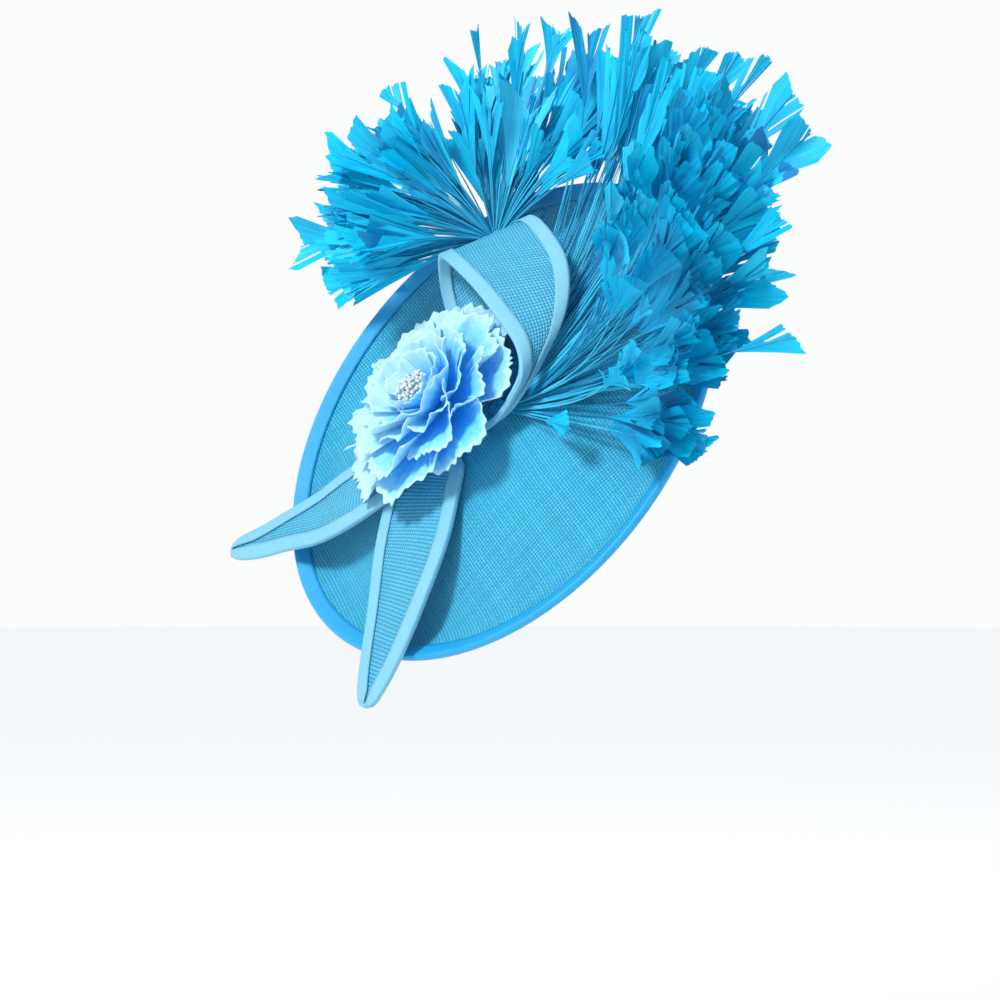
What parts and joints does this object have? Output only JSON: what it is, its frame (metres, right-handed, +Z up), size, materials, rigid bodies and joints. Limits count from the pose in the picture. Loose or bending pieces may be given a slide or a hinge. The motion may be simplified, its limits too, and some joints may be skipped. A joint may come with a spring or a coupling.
{
  "type": "feather fascinator",
  "caption": "Tilted straw saucer with a bound rim, a folded loop, pointed tails, a cloth flower with stamens and sprays of trimmed feathers.",
  "frame": {"origin": "middle of the saucer's rim plane, where the saucer sits on the head, held up as it is worn", "axes": "+Z up, +X to the right of a viewer who looks along +Y at the front; the saucer's axis points to the viewer's left, towards the viewer and up"},
  "size_m": [0.3466, 0.3357, 0.4121],
  "materials": {
    "saucer_base": "woven straw, satin sheen",
    "rim_binding": "satin",
    "loop_band": "woven",
    "loop_binding_near": "satin",
    "loop_binding_far": "satin",
    "tail_left": "woven",
    "tail_left_binding": "satin",
    "tail_lower": "woven",
    "tail_lower_binding": "satin",
    "flower_outer_petals": "matte",
    "flower_second_petals": "matte",
    "flower_third_petals": "matte",
    "flower_inner_petals": "matte",
    "flower_heart_petals": "matte",
    "flower_calyx": "satin",
    "stamen_cluster": "pearly",
    "feather_plume_main": "soft sheen",
    "feather_plume_side": "soft sheen",
    "feather_stem": "soft sheen",
    "hair_comb": "gloss"
  },
  "bodies": {
    "root": {"saucer_base": "saucer_base", "rim_binding": "rim_binding", "loop_band": "loop_band", "loop_binding_near": "loop_binding_near", "loop_binding_far": "loop_binding_far", "tail_left": "tail_left", "tail_left_binding": "tail_left_binding", "tail_lower": "tail_lower", "tail_lower_binding": "tail_lower_binding", "flower_outer_petals": "flower_outer_petals", "flower_second_petals": "flower_second_petals", "flower_third_petals": "flower_third_petals", "flower_inner_petals": "flower_inner_petals", "flower_heart_petals": "flower_heart_petals", "flower_calyx": "flower_calyx", "stamen_cluster": "stamen_cluster", "feather_plume_main": "feather_plume_main", "feather_plume_side": "feather_plume_side", "feather_stem": "feather_stem", "hair_comb": "hair_comb"}
  },
  "joints": []
}
